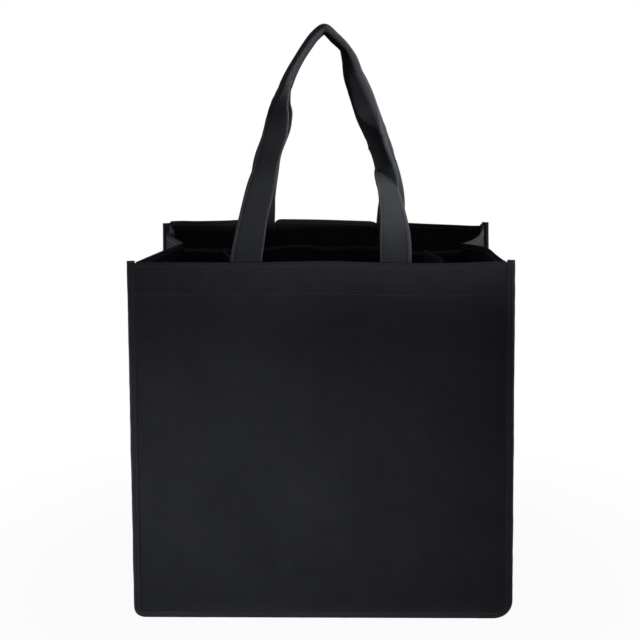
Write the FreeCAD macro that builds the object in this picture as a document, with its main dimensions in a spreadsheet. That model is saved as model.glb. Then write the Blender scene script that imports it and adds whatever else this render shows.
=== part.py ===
"""Cloth bottle carrier: sewn panels, bound outer seams, six divided cells and two strap handles.

Millimetres. +Z is up, the front panel faces -Y, and the origin lies on the floor under the
middle of the bag, which stands on the bound edges of its front and back panels.
"""
import FreeCAD, Part
import math
import os
import Sketcher

Vector = FreeCAD.Vector

# Driving sizes: name, value, what it measures
SIZES = [
    ("bag_width", 316, "between the outer faces of the two gussets"),
    ("bag_depth", 210, "between the outer faces of the front and back panels"),
    ("bag_height", 325, "floor to rim"),
    ("cloth", 1, "thickness of the cloth"),
    ("tape", 0.8, "thickness of the binding tape"),
    ("flange", 7, "how far the bound seams stand out past the gussets and the base"),
    ("tape_gap", 0.4, "from the edge of the tape to the wall beside it"),
    ("ear", 2, "how far the ends of the tape stand above the rim"),
    ("hem_depth", 27, "depth of the hem folded in at the rim"),
    ("hem_gap", 0.5, "from the ends of the hems and base lips to what lies beside them"),
    ("tuck", 32, "how far the gussets fold in at the rim"),
    ("tuck_length", 150, "how far down from the rim the gussets are folded in"),
    ("board", 2.5, "thickness of the board on the base"),
    ("board_gap", 1, "clearance round the board"),
    ("divider_foot", 12, "from the board to the lower edges of the dividers"),
    ("divider_drop", 8, "from the rim to the upper edges of the dividers"),
    ("partition_spacing", 105, "between the middle planes of the two cross partitions"),
    ("strap_width", 27, "width of the handle straps"),
    ("strap_thickness", 2, "thickness of the handle straps"),
    ("strap_gap", 0.5, "clearance round the sewn ends of the straps"),
    ("leg_spacing", 128, "between the middles of the two legs of a handle"),
    ("handle_rise", 191, "from the rim to the middle of the strap at the top of a handle"),
    ("root_gap", 0.6, "from the sewn end of a strap to the swinging part of it"),
    ("apex_gap", 3, "between the two handles where they meet at the top"),
    ("apex_tilt", 68, "degrees by which the strap lies over at the top of a handle"),
    ("arch_side_power", 1.7, "how long the legs of a handle stay apart"),
    ("arch_top_power", 1.33, "how pointed the top of a handle is"),
]

# Stations round a handle, and the stretch of its rise over which the strap turns
HANDLE_STATIONS = 24
TURN_START = 0.30
TURN_END = 0.85

# Distances that several pieces share
HALF_WIDTH = "Sizes.bag_width / 2"
HALF_DEPTH = "Sizes.bag_depth / 2"
SEAM_EDGE = "(Sizes.bag_width / 2 + Sizes.flange)"
CLOTH_EDGE = "(Sizes.bag_width / 2 + Sizes.flange - Sizes.tape)"
BASE_TOP = "(Sizes.flange + Sizes.cloth)"
TUCK_FOOT = "(Sizes.bag_height - Sizes.tuck_length)"
HEM_FOOT = "(Sizes.bag_height - Sizes.hem_depth)"
DIVIDER_FOOT = "(Sizes.flange + Sizes.cloth + Sizes.board + Sizes.divider_foot)"
DIVIDER_TOP = "(Sizes.bag_height - Sizes.divider_drop)"
PANEL_INSIDE = "(Sizes.bag_depth / 2 - Sizes.cloth)"
HEM_INSIDE = "(Sizes.bag_depth / 2 - 2 * Sizes.cloth)"

document = FreeCAD.newDocument("bottle_carrier")
sheet = document.addObject("Spreadsheet::Sheet", "Sizes")
for row, (alias, value, note) in enumerate(SIZES, start=1):
    sheet.set(f"A{row}", note)
    sheet.set(f"B{row}", str(value))
    sheet.setAlias(f"B{row}", alias)
document.recompute()

nodes = []


def size(alias):
    """One driving size as a number."""
    return float(sheet.get(alias))


def keep_node(piece, label):
    """Name a finished piece; the name is also the name of its file."""
    piece.Label = label
    nodes.append(piece)


def new_body(label):
    body = document.addObject("PartDesign::Body", label)
    keep_node(body, label)
    return body


def new_sketch(body, name, role, offset):
    """An empty sketch on one of the body's own origin planes, moved along its normal by offset."""
    sketch = body.newObject("Sketcher::SketchObject", f"{body.Name}_{name}")
    plane = next(item for item in body.Origin.OriginFeatures if item.Role == role)
    sketch.AttachmentSupport = (plane, [""])
    sketch.MapMode = "FlatFace"
    sketch.setExpression("AttachmentOffset.Base.z", offset)
    return sketch


def bind(sketch, constraint, expression):
    index = sketch.addConstraint(constraint)
    sketch.setExpression(f"Constraints[{index}]", expression)


def outline(body, name, role, offset, loops):
    """A sketch of closed loops, each corner tied to the sheet by its two coordinates.

    The corners start on a ring, and their constraints move them to their places.
    """
    sketch = new_sketch(body, name, role, offset)
    ring = 100
    for corners in loops:
        count = len(corners)
        first = sketch.GeometryCount
        turns = [2 * math.pi * step / count for step in range(count)]
        starts = [Vector(ring * math.cos(turn), ring * math.sin(turn), 0) for turn in turns]
        for step in range(count):
            sketch.addGeometry(Part.LineSegment(starts[step], starts[(step + 1) % count]))
        for step in range(count):
            following = first + (step + 1) % count
            sketch.addConstraint(Sketcher.Constraint("Coincident", first + step, 2, following, 1))
        for step, (across, up) in enumerate(corners):
            line = first + step
            start = starts[step]
            bind(sketch, Sketcher.Constraint("DistanceX", -1, 1, line, 1, start.x), across)
            bind(sketch, Sketcher.Constraint("DistanceY", -1, 1, line, 1, start.y), up)
    return sketch


def rectangle(left, right, low, high):
    return [(left, low), (right, low), (right, high), (left, high)]


def pad(body, sketch, length, backwards=False):
    feature = body.newObject("PartDesign::Pad", f"{sketch.Name}_pad")
    feature.Profile = sketch
    feature.setExpression("Length", length)
    feature.Reversed = backwards
    return feature


def lower_corner_edges(feature):
    """Names of the edges that run through the sheet at its two lower corners."""
    document.recompute()
    box = feature.Shape.BoundBox
    names = []
    for index, edge in enumerate(feature.Shape.Edges, start=1):
        span = edge.BoundBox
        runs_through = span.YLength > span.XLength + span.ZLength
        if runs_through and abs(span.ZMax - box.ZMin) < Part.Precision.confusion():
            names.append(f"Edge{index}")
    return names


def make_panel(face, side):
    """Front or back panel: a sheet with rounded lower corners and a hem folded to the inside."""
    body = new_body(f"{face}_panel")
    inwards = side < 0
    cut = outline(
        body, "cut", "XZ_Plane", f"{-side} * ({HALF_DEPTH})",
        [rectangle(f"-{CLOTH_EDGE}", CLOTH_EDGE, "Sizes.tape", "Sizes.bag_height")])
    blank = pad(body, cut, "Sizes.cloth", inwards)
    rounding = body.newObject("PartDesign::Fillet", f"{face}_panel_corners")
    rounding.Base = (blank, lower_corner_edges(blank))
    rounding.setExpression("Radius", "Sizes.flange + Sizes.cloth - Sizes.tape")
    hem_end = "(Sizes.bag_width / 2 - Sizes.cloth - Sizes.hem_gap)"
    hem = outline(
        body, "hem", "XZ_Plane", f"{-side} * {PANEL_INSIDE}",
        [rectangle(f"-{hem_end}", hem_end, HEM_FOOT, "Sizes.bag_height")])
    pad(body, hem, "Sizes.cloth", inwards)


def gusset_section(body, name, side, height, fold):
    """Level cut through a gusset: seam lips at both ends and a wall folded in by fold."""
    lip_end = "Sizes.tape - Sizes.flange"
    lip_back = HEM_INSIDE
    lip_front = PANEL_INSIDE
    inset_corners = [
        (lip_end, f"-{lip_front}"),
        (lip_end, f"-{lip_back}"),
        ("0", f"-{lip_back}"),
        (fold, "0"),
        ("0", lip_back),
        (lip_end, lip_back),
        (lip_end, lip_front),
        ("Sizes.cloth", lip_front),
        (f"{fold} + Sizes.cloth", "0"),
        ("Sizes.cloth", f"-{lip_front}"),
    ]
    corners = [(f"{side} * ({HALF_WIDTH} - ({inset}))", along) for inset, along in inset_corners]
    return outline(body, name, "XY_Plane", height, [corners])


def make_gusset(end, side):
    """Side wall, flat below and folded inwards along its middle towards the rim."""
    body = new_body(f"{end}_gusset")
    foot = gusset_section(body, "foot", side, BASE_TOP, "0")
    bend = gusset_section(body, "bend", side, TUCK_FOOT, "0")
    rim = gusset_section(body, "rim", side, "Sizes.bag_height", "Sizes.tuck")
    wall = body.newObject("PartDesign::AdditiveLoft", f"{end}_gusset_wall")
    wall.Profile = foot
    wall.Sections = [bend, rim]
    wall.Ruled = True


def make_base():
    """Floor of the bag, with seam lips turned down inside the front and back bindings."""
    body = new_body("base_panel")
    floor = outline(
        body, "floor", "XY_Plane", "Sizes.flange",
        [rectangle(f"-{HALF_WIDTH}", HALF_WIDTH, f"-{PANEL_INSIDE}", PANEL_INSIDE)])
    pad(body, floor, "Sizes.cloth")
    lip_end = "(Sizes.bag_width / 2 - Sizes.cloth - Sizes.hem_gap)"
    lips = outline(
        body, "lips", "XY_Plane", "Sizes.flange",
        [rectangle(f"-{lip_end}", lip_end, f"-{PANEL_INSIDE}", f"-{HEM_INSIDE}"),
         rectangle(f"-{lip_end}", lip_end, HEM_INSIDE, PANEL_INSIDE)])
    pad(body, lips, "Sizes.flange - Sizes.tape", backwards=True)


def make_board():
    """Loose stiff board that lies on the base."""
    board = document.addObject("Part::Box", "base_board")
    length = "Sizes.bag_width - 2 * (Sizes.cloth + Sizes.board_gap)"
    width = "Sizes.bag_depth - 2 * (Sizes.cloth + Sizes.board_gap)"
    board.setExpression("Length", length)
    board.setExpression("Width", width)
    board.setExpression("Height", "Sizes.board")
    board.setExpression("Placement.Base.x", f"-({length}) / 2")
    board.setExpression("Placement.Base.y", f"-({width}) / 2")
    board.setExpression("Placement.Base.z", BASE_TOP)
    keep_node(board, "base_board")


def make_centre_divider():
    """Lengthwise wall between the gussets; its ends follow their inner creases."""
    body = new_body("centre_divider")
    straight = "(Sizes.bag_width / 2 - Sizes.cloth)"
    fold_at_top = "Sizes.tuck * (Sizes.tuck_length - Sizes.divider_drop) / Sizes.tuck_length"
    narrow = f"({straight} - {fold_at_top})"
    corners = [
        (f"-{straight}", DIVIDER_FOOT),
        (straight, DIVIDER_FOOT),
        (straight, TUCK_FOOT),
        (narrow, DIVIDER_TOP),
        (f"-{narrow}", DIVIDER_TOP),
        (f"-{straight}", TUCK_FOOT),
    ]
    cut = outline(body, "cut", "XZ_Plane", "Sizes.cloth / 2", [corners])
    pad(body, cut, "Sizes.cloth", backwards=True)


def make_partition(face, face_side, end, end_side):
    """Cross wall from the panel to the centre divider, notched round the hem and strap ends."""
    body = new_body(f"{face}_{end}_partition")
    notch_side = f"({PANEL_INSIDE} - Sizes.cloth - Sizes.strap_thickness - Sizes.strap_gap)"
    notch_foot = f"({HEM_FOOT} - Sizes.strap_gap)"
    inner_end = "Sizes.cloth / 2"
    depths_and_heights = [
        (PANEL_INSIDE, DIVIDER_FOOT),
        (PANEL_INSIDE, notch_foot),
        (notch_side, notch_foot),
        (notch_side, DIVIDER_TOP),
        (inner_end, DIVIDER_TOP),
        (inner_end, DIVIDER_FOOT),
    ]
    corners = [(f"{face_side} * {depth}", height) for depth, height in depths_and_heights]
    place = f"{end_side} * Sizes.partition_spacing / 2 - Sizes.cloth / 2"
    cut = outline(body, "cut", "YZ_Plane", place, [corners])
    pad(body, cut, "Sizes.cloth")


def make_binding(face, side):
    """Tape folded over the seam edges down one side, along the bottom and up the other side."""
    body = new_body(f"{face}_binding")
    path = new_sketch(body, "path", "XZ_Plane", f"{-side} * ({HALF_DEPTH})")
    edge = size("bag_width") / 2 + size("flange")
    top = size("bag_height") + size("ear")
    radius = size("flange") + size("cloth")
    left_turn = Part.Circle(Vector(radius - edge, radius, 0), Vector(0, 0, 1), radius)
    right_turn = Part.Circle(Vector(edge - radius, radius, 0), Vector(0, 0, 1), radius)
    path.addGeometry(Part.LineSegment(Vector(-edge, top, 0), Vector(-edge, radius, 0)))
    path.addGeometry(Part.ArcOfCircle(left_turn, math.pi, 1.5 * math.pi))
    path.addGeometry(Part.LineSegment(Vector(radius - edge, 0, 0), Vector(edge - radius, 0, 0)))
    path.addGeometry(Part.ArcOfCircle(right_turn, 1.5 * math.pi, 2 * math.pi))
    path.addGeometry(Part.LineSegment(Vector(edge, radius, 0), Vector(edge, top, 0)))
    for run in range(4):
        path.addConstraint(Sketcher.Constraint("Tangent", run, 2, run + 1, 1))
    path.addConstraint(Sketcher.Constraint("Vertical", 0))
    path.addConstraint(Sketcher.Constraint("Horizontal", 2))
    path.addConstraint(Sketcher.Constraint("Vertical", 4))
    path.addConstraint(Sketcher.Constraint("PointOnObject", 2, 1, -1))
    bind(path, Sketcher.Constraint("Radius", 1, radius), BASE_TOP)
    bind(path, Sketcher.Constraint("Radius", 3, radius), BASE_TOP)
    bind(path, Sketcher.Constraint("DistanceX", -1, 1, 0, 1, -edge), f"-{SEAM_EDGE}")
    bind(path, Sketcher.Constraint("DistanceX", -1, 1, 4, 2, edge), SEAM_EDGE)
    for run, end in ((0, 1), (4, 2)):
        rim = Sketcher.Constraint("DistanceY", -1, 1, run, end, top)
        bind(path, rim, "Sizes.bag_height + Sizes.ear")

    outside = f"-{SEAM_EDGE}"
    web = f"(Sizes.tape - {SEAM_EDGE})"
    inside = "-(Sizes.bag_width / 2 + Sizes.tape_gap)"
    depths = [
        (outside, "Sizes.tape"),
        (inside, "Sizes.tape"),
        (inside, "0"),
        (web, "0"),
        (web, "-2 * Sizes.cloth"),
        (inside, "-2 * Sizes.cloth"),
        (inside, "-2 * Sizes.cloth - Sizes.tape"),
        (outside, "-2 * Sizes.cloth - Sizes.tape"),
    ]
    corners = [(across, f"{side} * ({HALF_DEPTH} + ({depth}))") for across, depth in depths]
    fold = outline(body, "fold", "XY_Plane", "Sizes.bag_height + Sizes.ear", [corners])
    sweep = body.newObject("PartDesign::AdditivePipe", f"{face}_binding_sweep")
    sweep.Profile = fold
    sweep.Spine = (path, [f"Edge{run}" for run in range(1, 6)])


def make_tails(face, side):
    """The two sewn ends of one handle, flat on the inner face of the hem."""
    tails = []
    for end, end_side in (("left", -1), ("right", 1)):
        tail = document.addObject("Part::Box", f"{face}_{end}_tail")
        tail.setExpression("Length", "Sizes.strap_width")
        tail.setExpression("Width", "Sizes.strap_thickness")
        tail.setExpression("Height", "Sizes.hem_depth")
        across = f"{end_side} * Sizes.leg_spacing / 2 - Sizes.strap_width / 2"
        middle = f"{side} * ({HEM_INSIDE} - Sizes.strap_thickness / 2)"
        tail.setExpression("Placement.Base.x", across)
        tail.setExpression("Placement.Base.y", f"{middle} - Sizes.strap_thickness / 2")
        tail.setExpression("Placement.Base.z", HEM_FOOT)
        tails.append(tail)
    pair = document.addObject("Part::Compound", f"{face}_handle_tails")
    pair.Links = tails
    keep_node(pair, f"{face}_handle_tails")


def smooth_step(position):
    limited = min(max(position, 0.0), 1.0)
    return limited * limited * (3 - 2 * limited)


def handle_shape(side):
    """One handle: a flat strap round a pointed arch that leans in over the bag.

    The legs stand flat behind the rim, and towards the top the strap turns until it lies
    over, so that the two handles meet side by side.
    """
    half_strap = size("strap_width") / 2
    half_thick = size("strap_thickness") / 2
    tilt = math.radians(size("apex_tilt"))
    root_depth = size("bag_depth") / 2 - 2 * size("cloth") - half_thick
    apex_depth = half_strap * math.sin(tilt) + half_thick * math.cos(tilt) + size("apex_gap") / 2
    root = Vector(0, side * root_depth, size("bag_height") + size("root_gap"))
    apex = Vector(0, side * apex_depth, size("bag_height") + size("handle_rise"))
    rise = (apex - root).Length
    upwards = (apex - root).normalize()
    lean = math.acos(upwards.z)
    inwards = Vector(0, -side * upwards.z, -math.sin(lean))
    turn_at_apex = tilt - lean

    def point(angle):
        """Middle of the strap; the angle runs from 0 at the left root to pi at the right one."""
        across = -math.cos(angle)
        spread = min(abs(across) ** size("arch_top_power"), 1.0)
        height = (1 - spread) ** (1 / size("arch_side_power"))
        reach = Vector(size("leg_spacing") / 2 * across, 0, 0)
        return root + reach + upwards * (rise * height), height

    def section(station):
        angle = math.pi * station / HANDLE_STATIONS
        nudge = 1e-4
        middle, height = point(angle)
        before, _ = point(max(angle - nudge, 0))
        after, _ = point(min(angle + nudge, math.pi))
        along = (after - before).normalize()
        outer = along.cross(inwards) * -side
        turn = turn_at_apex * smooth_step((height - TURN_START) / (TURN_END - TURN_START))
        width = (outer * math.cos(turn) + inwards * math.sin(turn)).normalize()
        thick = along.cross(width).normalize()
        half_width = width * half_strap
        half_depth = thick * half_thick
        corners = [
            middle + half_width + half_depth,
            middle - half_width + half_depth,
            middle - half_width - half_depth,
            middle + half_width - half_depth,
        ]
        return Part.makePolygon(corners + corners[:1])

    sections = [section(station) for station in range(HANDLE_STATIONS + 1)]
    return Part.makeLoft(sections, True, True)


def make_handle(face, side):
    handle = document.addObject("Part::Feature", f"{face}_handle")
    handle.Shape = handle_shape(side)
    handle.Placement = FreeCAD.Placement()
    keep_node(handle, f"{face}_handle")


FACES = (("front", -1), ("back", 1))
ENDS = (("left", -1), ("right", 1))

for face, side in FACES:
    make_panel(face, side)
for end, side in ENDS:
    make_gusset(end, side)
make_base()
make_board()
make_centre_divider()
for face, face_side in FACES:
    for end, end_side in ENDS:
        make_partition(face, face_side, end, end_side)
for face, side in FACES:
    make_binding(face, side)
    make_tails(face, side)
    make_handle(face, side)
document.recompute()

for item in document.Objects:
    if "Invalid" in item.State or "Error" in item.State:
        raise RuntimeError(f"{item.Label} did not build: {item.State}")
for piece in nodes:
    if piece.Shape.isNull() or not piece.Shape.isValid():
        raise RuntimeError(f"{piece.Label} has no valid shape")

os.makedirs("parts", exist_ok=True)
for piece in nodes:
    piece.Shape.exportStep(f"parts/{piece.Label}.step")
    solids = len(piece.Shape.Solids)
    print(f"{piece.Label}: {solids} solid, {piece.Shape.Volume / 1000:.1f} cm3")
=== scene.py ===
"""Looks of the bottle carrier: cloth, tape, straps and stitching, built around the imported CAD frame."""

import math
from collections import namedtuple

import bmesh
import bpy
from bpy.props import FloatProperty, FloatVectorProperty, PointerProperty
from mathutils import Matrix, Vector, noise


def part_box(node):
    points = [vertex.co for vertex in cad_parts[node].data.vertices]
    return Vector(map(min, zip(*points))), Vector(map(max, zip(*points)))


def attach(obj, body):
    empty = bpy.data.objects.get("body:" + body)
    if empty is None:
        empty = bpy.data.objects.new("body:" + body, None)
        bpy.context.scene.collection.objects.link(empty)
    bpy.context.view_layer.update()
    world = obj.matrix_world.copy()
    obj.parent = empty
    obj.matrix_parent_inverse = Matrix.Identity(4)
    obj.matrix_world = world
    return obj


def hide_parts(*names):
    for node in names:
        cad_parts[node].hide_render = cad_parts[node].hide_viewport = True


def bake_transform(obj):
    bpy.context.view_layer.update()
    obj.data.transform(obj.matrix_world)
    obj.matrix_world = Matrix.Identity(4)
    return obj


bl_info = {
    "name": "Bottle Carrier",
    "version": (1, 0, 0),
    "blender": (4, 5, 0),
    "location": "3D View > Sidebar > Carrier",
    "description": "Builds a black cloth bottle carrier with divided cells and strap handles",
    "category": "Add Mesh",
}

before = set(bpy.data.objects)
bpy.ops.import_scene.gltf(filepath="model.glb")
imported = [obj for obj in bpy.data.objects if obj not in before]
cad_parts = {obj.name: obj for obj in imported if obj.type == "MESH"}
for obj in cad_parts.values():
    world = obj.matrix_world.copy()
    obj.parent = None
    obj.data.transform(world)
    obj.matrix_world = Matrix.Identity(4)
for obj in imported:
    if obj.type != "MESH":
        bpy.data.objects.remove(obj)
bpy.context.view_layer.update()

MM = 0.001
FRONT, BACK = -1, 1
LEFT, RIGHT = -1, 1
SIDE_NAMES = {FRONT: "front", BACK: "back"}
HAND_NAMES = {LEFT: "left", RIGHT: "right"}

# Places that come from the frame
PANEL_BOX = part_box("back_panel")
BINDING_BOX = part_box("back_binding")
BOARD_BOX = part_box("base_board")
DIVIDER_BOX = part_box("centre_divider")
PARTITION_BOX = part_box("back_right_partition")
TAIL_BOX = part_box("back_handle_tails")

RIM = PANEL_BOX[1].z
SEAM_X = PANEL_BOX[1].x
PANEL_OUTER_Y = PANEL_BOX[1].y
EAR_TOP = BINDING_BOX[1].z - 0.8 * MM
DIVIDER_TOP = DIVIDER_BOX[1].z
DIVIDER_FOOT = DIVIDER_BOX[0].z
PARTITION_X = (PARTITION_BOX[0].x + PARTITION_BOX[1].x) / 2
TAIL_Y = (TAIL_BOX[0].y + TAIL_BOX[1].y) / 2
TAIL_FOOT = TAIL_BOX[0].z


# Properties that a user would change


def length(name, description, default):
    """A length property in metres."""
    return FloatProperty(name=name, description=description, default=default, unit="LENGTH", precision=4)


def colour(name, description, default):
    """A linear colour property."""
    return FloatVectorProperty(
        name=name, description=description, default=default, subtype="COLOR", size=3, min=0.0, max=1.0
    )


class CarrierSizes(bpy.types.PropertyGroup):
    """Sizes of the soft pieces that the frame doesn't fix."""

    cloth: length("Cloth", "Thickness of the bag's cloth", 0.9 * MM)
    hem: length("Hem", "Depth of the hem folded in at the rim", RIM - TAIL_FOOT + 1.8 * MM)
    base_flare: length("Base flare", "How far each side seam stands out at the floor", 5.2 * MM)
    front_draw: length("Front draw", "How far the front side seams are drawn in at the rim", -0.4 * MM)
    back_draw: length("Back draw", "How far the back side seams are drawn in at the rim", 3.0 * MM)
    belly: length("Belly", "How far the middle of a panel stands out", 2.2 * MM)
    cell_swell: length("Cell swell", "How far each cell rounds the panel's lower part", 1.5 * MM)
    tuck_foot: length("Tuck foot", "Height at which the gussets start to tuck in", 118.0 * MM)
    tape_leaf: length("Tape leaf", "Width of the binding on each side of the seam", 6.8 * MM)
    strap: length("Strap", "Width of the handle straps", TAIL_BOX[1].x * 2 - 128.0 * MM)
    strap_thickness: length("Strap thickness", "Thickness of the handle straps", 1.8 * MM)
    stitch_pitch: length("Stitch pitch", "Distance from one stitch to the next", 3.3 * MM)
    stitch_length: length("Stitch length", "Length of thread that shows in a stitch", 2.5 * MM)
    thread: length("Thread", "Thickness of the sewing thread", 0.42 * MM)


class CarrierColours(bpy.types.PropertyGroup):
    """Colours of the carrier and the stage."""

    cloth: colour("Cloth", "Spun-bonded cloth", (0.0298, 0.0312, 0.0368))
    tape: colour("Tape", "Binding tape", (0.0315, 0.033, 0.0385))
    strap: colour("Strap", "Handle straps", (0.0315, 0.033, 0.0378))
    thread: colour("Thread", "Sewing thread", (0.02, 0.021, 0.024))
    board: colour("Board", "Base board", (0.03, 0.03, 0.032))
    floor: colour("Floor", "Floor and backdrop", (0.82, 0.82, 0.82))


def sizes():
    return bpy.context.scene.carrier_sizes


def colours():
    return bpy.context.scene.carrier_colours


# Small helpers for shapes


def lerp(a, b, share):
    return a + (b - a) * share


def clamp(value, low=0.0, high=1.0):
    return max(low, min(high, value))


def smooth(low, high, value):
    """0 below low, 1 above high, and an even S between them."""
    share = clamp((value - low) / (high - low))
    return share * share * (3 - 2 * share)


def bump(centre, reach, value):
    """1 at the centre, falling evenly to 0 at the given reach."""
    return 1 - smooth(0.0, reach, abs(value - centre))


def through(points, value):
    """A smooth curve through given (place, height) points, in order of place."""
    if value <= points[0][0]:
        return points[0][1]
    if value >= points[-1][0]:
        return points[-1][1]
    last = len(points) - 1
    index = next(i for i in range(last) if points[i + 1][0] >= value)
    x0, y0 = points[index]
    x1, y1 = points[index + 1]

    def slope(i):
        if i == 0:
            return (points[1][1] - points[0][1]) / (points[1][0] - points[0][0])
        if i == last:
            return (points[last][1] - points[last - 1][1]) / (points[last][0] - points[last - 1][0])
        return (points[i + 1][1] - points[i - 1][1]) / (points[i + 1][0] - points[i - 1][0])

    span = x1 - x0
    t = (value - x0) / span
    near = (1 + 2 * t) * (1 - t) ** 2 * y0 + t * (1 - t) ** 2 * span * slope(index)
    far = t * t * (3 - 2 * t) * y1 + t * t * (t - 1) * span * slope(index + 1)
    return near + far


def ripple(x, y, size, seed):
    """Even noise from -1 to 1 whose bumps are about that size across."""
    return noise.noise(Vector((x / size, y / size, seed)))


def evenly(low, high, count):
    return [lerp(low, high, i / (count - 1)) for i in range(count)]


def stepped(*stops):
    """Places along a line: (start), then (stop, number of steps) for each stretch."""
    places = [stops[0]]
    for stop, count in stops[1:]:
        begin = places[-1]
        places += [lerp(begin, stop, (i + 1) / count) for i in range(count)]
    return places


# Meshes, objects and node trees


def link_all(tree, links):
    """Joins nodes, given as (from node, its output, to node, its input)."""
    for giver, output, taker, socket in links:
        tree.links.new(giver.outputs[output], taker.inputs[socket])


def new_object(name, mesh):
    """A shown object at the origin with the mesh's place in its points."""
    item = bpy.data.objects.new(name, mesh)
    bpy.context.scene.collection.objects.link(item)
    return item


def object_from(made, name):
    """A shown object from a BMesh, which is freed."""
    mesh = bpy.data.meshes.new(name)
    made.to_mesh(mesh)
    made.free()
    return new_object(name, mesh)


def running(points, begin=0.0):
    """The distance along a line of points to each of them."""
    runs = [begin]
    for a, b in zip(points, points[1:]):
        runs.append(runs[-1] + (b - a).length)
    return runs


def add_faces(made, uv, grid, flat):
    """Smooth faces between the rows of a grid of vertices, with the flat place of each corner."""
    for r in range(len(grid) - 1):
        for c in range(len(grid[0]) - 1):
            corners = ((r, c), (r, c + 1), (r + 1, c + 1), (r + 1, c))
            face = made.faces.new([grid[i][j] for i, j in corners])
            face.smooth = True
            for loop, (i, j) in zip(face.loops, corners):
                loop[uv].uv = flat[i][j]


def sheet_mesh(name, grids, thickness):
    """A closed cloth sheet from grids of middle points that join; its UV map holds flat places in metres."""
    middle = bmesh.new()
    uv = middle.loops.layers.uv.new("Cloth")
    begin = 0.0
    for rows in grids:
        flat = flat_places(rows, begin)
        begin = flat[-1][0][1]
        add_faces(middle, uv, [[middle.verts.new(point) for point in row] for row in rows], flat)
    bmesh.ops.remove_doubles(middle, verts=middle.verts[:], dist=0.001 * MM)
    item = object_from(middle, name)
    walls = item.modifiers.new("Thickness", "SOLIDIFY")
    walls.thickness = thickness
    walls.offset = 0.0
    walls.use_even_offset = False
    return plain_mesh(item)


def plain_mesh(item):
    """Turns an object's modifiers into its plain mesh."""
    evaluated = item.evaluated_get(bpy.context.evaluated_depsgraph_get())
    made = bpy.data.meshes.new_from_object(evaluated)
    made.name = item.name
    item.modifiers.clear()
    item.data = made
    return item


def flat_places(rows, begin):
    """The (u, v) place of each point when the sheet is laid flat, measured along its middle lines."""
    column = len(rows[0]) // 2
    across = running(rows[len(rows) // 2])
    along = running([row[column] for row in rows], begin)
    return [[(u, v) for u in across] for v in along]


def loft_mesh(name, rings):
    """A closed tube through rings of points, with (round, along) places in metres as its UV map."""
    tube = bmesh.new()
    uv = tube.loops.layers.uv.new("Cloth")
    grid = [[tube.verts.new(point) for point in ring] for ring in rings]
    middle = rings[len(rings) // 2]
    around = running(middle + middle[:1])
    flat = [[(u, v) for u in around] for v in running([ring[0] for ring in rings])]
    add_faces(tube, uv, [row + row[:1] for row in grid], flat)
    tube.faces.new(list(reversed(grid[0])))
    tube.faces.new(grid[-1])
    bmesh.ops.recalc_face_normals(tube, faces=tube.faces[:])
    return object_from(tube, name)


# Shared shape of the bag, so that cloth, tape and stitches meet

FLANGE = SEAM_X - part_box("base_panel")[1].x
LIP_Y = PANEL_OUTER_Y - 1.5 * MM
BASE_MIDDLE = BOARD_BOX[0].z - 0.5 * MM
PANEL_FOOT = PANEL_BOX[0].z
CORNER_TURN = {LEFT: 2.6 * MM, RIGHT: 10.0 * MM}
FLARE_TOP = 16 * MM
HEM_TURN = 0.6 * MM
RIM_STITCH = 3.5 * MM
HEM_STITCH_UP = 1.2 * MM
CELL_CENTRES = (-2 * PARTITION_X, 0.0, 2 * PARTITION_X)
CELL_REACH = 50 * MM

# Height of each rim above or below the straight line, as (place across, lift) in millimetres
RIM_WAVE = {
    FRONT: ((-165, 0), (-103, -0.3), (-65, -0.5), (8, 0.4), (50, -0.9), (102, -1.6), (153, -0.1), (165, 0)),
    BACK: (
        (-165, 1.0), (-150, 3.2), (-125, 3.1), (-97, 3.6), (-84, 4.3), (-54, 4.8), (-10, 4.3), (22, 3.3),
        (58, 1.9), (98, -0.2), (125, -1.4), (152, -2.4), (165, -0.6),
    ),
}

# How far each gusset is tucked in at the rim, each side of its crease: (place in depth, tuck) in millimetres
TUCK_FRONT = {
    LEFT: ((-104, 0), (-52, 12.2), (3, 26)),
    RIGHT: ((-104, 0), (-95, 2.4), (-68, 5.2), (-32, 9.2), (-17, 17), (-5, 28)),
}
TUCK_BACK = {
    LEFT: ((3, 26), (28, 13.5), (44, 6.5), (58, 9.5), (80, 5.5), (104, 0)),
    RIGHT: ((-5, 28), (13, 17), (35, 9.2), (80, 1.2), (104, 0)),
}

# A lifted rim is let down behind each strap, so that the strap can fold over it: millimetres
STRAP_SEAT_AT = 63.7
STRAP_SEAT_FLAT = 12.5
STRAP_SEAT_END = 17.5


def rim_height(side, x):
    """Height of a panel's rim at a place across."""
    lift = through(RIM_WAVE[side], x / MM)
    beside = abs(abs(x) / MM - STRAP_SEAT_AT)
    lift -= max(lift, 0.0) * (1.0 - smooth(STRAP_SEAT_FLAT, STRAP_SEAT_END, beside))
    return RIM + lift * MM


def lean_out(z, y):
    """How far a side stands out from the CAD's upright seams at a height and a place in the depth."""
    size = sizes()
    draw = lerp(size.front_draw, size.back_draw, clamp((y / LIP_Y + 1) / 2))
    return lerp(size.base_flare, -draw, clamp((z - FLARE_TOP) / (RIM - FLARE_TOP)))


def panel_half(side, hand, z):
    """Half width of a panel at a height, drawn in round its bottom corner."""
    radius = CORNER_TURN[hand] + FLANGE
    straight = SEAM_X + lean_out(z, side * LIP_Y)
    rise = clamp((z - PANEL_FOOT) / radius)
    return straight - radius + radius * math.sqrt(1 - (1 - rise) ** 2)


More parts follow.
